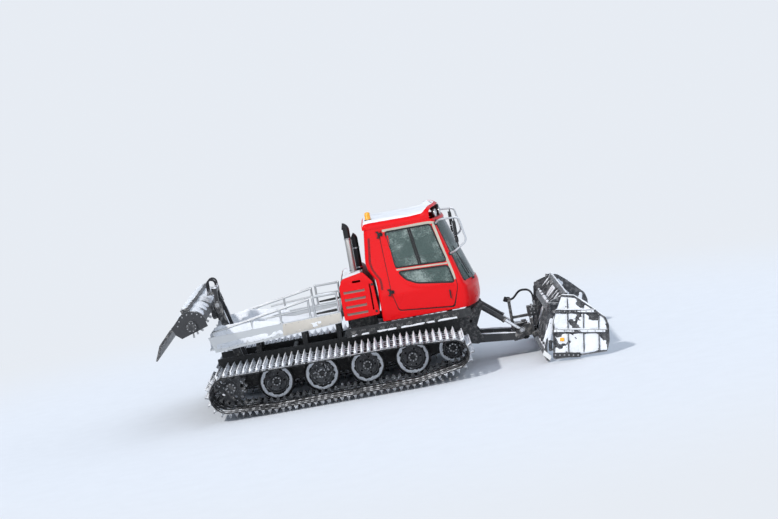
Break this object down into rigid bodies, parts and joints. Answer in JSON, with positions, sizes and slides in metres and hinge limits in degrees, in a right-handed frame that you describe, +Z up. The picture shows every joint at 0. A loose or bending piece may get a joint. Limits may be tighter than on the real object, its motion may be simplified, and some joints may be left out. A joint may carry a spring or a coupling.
{
  "type": "snowcat groomer",
  "caption": "Tracked snow groomer with a glazed cab, an all-way front blade with folding wings, a load bed, and a raised rear tiller on lift arms.",
  "frame": {"origin": "on the ground below the middle of the machine's overall box", "axes": "+X forward, +Y to the machine's left, +Z up"},
  "size_m": [7.4794, 4.24, 2.932],
  "materials": {
    "red_paint": "gloss",
    "frame_paint": "satin",
    "engine_paint": "matt",
    "tyre": "matt",
    "wheel_paint": "satin",
    "track_bars": "worn",
    "glass": "clear",
    "cab_trim": "matt",
    "seat_cloth": "woven",
    "bed_aluminium": "brushed",
    "exhaust_steel": "heat tinted",
    "beacon_amber": "clear",
    "lamp_shell": "matt",
    "blade_paint": "worn satin",
    "rod_chrome": "polished",
    "hose_rubber": "matt",
    "rotor_steel": "worn"
  },
  "bodies": {
    "chassis": {"chassis_frame": "frame_paint", "engine_block": "engine_paint", "swing_arms": "frame_paint", "tyres": "tyre", "wheel_discs": "wheel_paint", "sprockets": "wheel_paint", "track_right": "track_bars", "track_left": "track_bars", "cab_shell": "red_paint", "cab_roof": "red_paint", "windscreen": "glass", "rear_window": "glass", "cab_console": "cab_trim", "seats": "seat_cloth", "steering_wheel": "cab_trim", "engine_housing": "frame_paint", "exhaust_pipes": "exhaust_steel", "bed_deck": "bed_aluminium", "bed_rails": "bed_aluminium", "track_guards": "cab_trim", "beacon": "beacon_amber", "roof_lamps": "lamp_shell", "mirrors": "cab_trim"},
    "door_right": {"door_right": "red_paint", "door_glass_right": "glass"},
    "door_left": {"door_left": "red_paint", "door_glass_left": "glass"},
    "side_cover_right": {"side_cover_right": "red_paint"},
    "side_cover_left": {"side_cover_left": "red_paint"},
    "lift_frame": {"lift_frame": "frame_paint", "front_hoses": "hose_rubber"},
    "lift_barrels": {"lift_barrels": "frame_paint"},
    "lift_rods": {"lift_rods": "rod_chrome"},
    "swing_head": {"swing_head": "frame_paint"},
    "tilt_plate": {"tilt_plate": "frame_paint"},
    "blade": {"blade": "blade_paint"},
    "wing_right": {"wing_right": "blade_paint"},
    "wing_left": {"wing_left": "blade_paint"},
    "rear_arms": {"rear_arms": "frame_paint"},
    "rear_barrel": {"rear_barrel": "frame_paint"},
    "rear_rod": {"rear_rod": "rod_chrome"},
    "tiller_frame": {"tiller_frame": "frame_paint", "rear_hoses": "hose_rubber"},
    "tiller": {"tiller_housing": "frame_paint"},
    "rotor": {"tiller_rotor": "rotor_steel"}
  },
  "joints": [
    {"name": "door_right_swing", "type": "hinge", "parent": "chassis", "child": "door_right", "pos_m": [0.286, -1.02994, 1.552], "axis": [0.0271, -0.1157, -0.9929], "range_deg": [0, 75]},
    {"name": "door_left_swing", "type": "hinge", "parent": "chassis", "child": "door_left", "pos_m": [0.286, 1.02994, 1.552], "axis": [-0.0271, -0.1157, 0.9929], "range_deg": [0, 75]},
    {"name": "cover_right_swing", "type": "hinge", "parent": "chassis", "child": "side_cover_right", "pos_m": [-0.564, -0.973, 1.48], "axis": [0, 0, -1], "range_deg": [0, 80]},
    {"name": "cover_left_swing", "type": "hinge", "parent": "chassis", "child": "side_cover_left", "pos_m": [-0.564, 0.973, 1.48], "axis": [0, 0, 1], "range_deg": [0, 80]},
    {"name": "front_lift", "type": "hinge", "parent": "chassis", "child": "lift_frame", "pos_m": [1.655, 0, 0.43], "axis": [0, -1, 0], "range_deg": [-6, 26]},
    {"name": "front_cylinder_swing", "type": "hinge", "parent": "chassis", "child": "lift_barrels", "pos_m": [1.758, 0, 0.985], "axis": [0, -1, 0], "range_deg": [-5, 20]},
    {"name": "front_cylinder_stroke", "type": "slide", "parent": "lift_barrels", "child": "lift_rods", "axis": [0.7694, 0, -0.6388], "range_m": [-0.25, 0.065]},
    {"name": "blade_angle", "type": "hinge", "parent": "lift_frame", "child": "swing_head", "pos_m": [2.47, 0, 0.4], "axis": [0, 0, 1], "range_deg": [-20, 20]},
    {"name": "blade_tilt", "type": "hinge", "parent": "swing_head", "child": "tilt_plate", "pos_m": [2.57, 0, 0.4], "axis": [1, 0, 0], "range_deg": [-8, 8]},
    {"name": "blade_pitch", "type": "hinge", "parent": "tilt_plate", "child": "blade", "pos_m": [2.668, 0, 0.33], "axis": [0, 1, 0], "range_deg": [-10, 10]},
    {"name": "wing_right_fold", "type": "hinge", "parent": "blade", "child": "wing_right", "pos_m": [2.73275, -1.766, 0.03623], "axis": [0.1461, 0, 0.9893], "range_deg": [-86, 10]},
    {"name": "wing_left_fold", "type": "hinge", "parent": "blade", "child": "wing_left", "pos_m": [2.73275, 1.766, 0.03623], "axis": [-0.1461, 0, -0.9893], "range_deg": [-86, 10]},
    {"name": "rear_lift", "type": "hinge", "parent": "chassis", "child": "rear_arms", "pos_m": [-2.4, 0, 0.56], "axis": [0, -1, 0], "range_deg": [0, 90]},
    {"name": "rear_cylinder_swing", "type": "hinge", "parent": "chassis", "child": "rear_barrel", "pos_m": [-1.982, 0, 0.584], "axis": [0, -1, 0], "range_deg": [-1, 14]},
    {"name": "rear_cylinder_stroke", "type": "slide", "parent": "rear_barrel", "child": "rear_rod", "axis": [-0.9795, 0, -0.2015], "range_m": [-0.17, 0.004]},
    {"name": "tiller_level", "type": "hinge", "parent": "rear_arms", "child": "tiller_frame", "pos_m": [-2.68, 0, 1.8], "axis": [0, -1, 0], "range_deg": [-108, 1]},
    {"name": "tiller_pitch", "type": "hinge", "parent": "tiller_frame", "child": "tiller", "pos_m": [-2.764, 0, 1.6], "axis": [0, -1, 0], "range_deg": [-8, 8]},
    {"name": "rotor_spin", "type": "hinge", "parent": "tiller", "child": "rotor", "pos_m": [-3.02, 0, 1.676], "axis": [0, 1, 0], "continuous": true}
  ],
  "couplings": [
    {"joint": "front_cylinder_swing", "follows": "front_lift", "ratio": 0.73},
    {"joint": "front_cylinder_stroke", "follows": "front_lift", "m_per_rad": -0.52426},
    {"joint": "rear_cylinder_swing", "follows": "rear_lift", "ratio": 0.14},
    {"joint": "rear_cylinder_stroke", "follows": "rear_lift", "m_per_rad": -0.10256},
    {"joint": "tiller_level", "follows": "rear_lift", "ratio": -1.19}
  ]
}
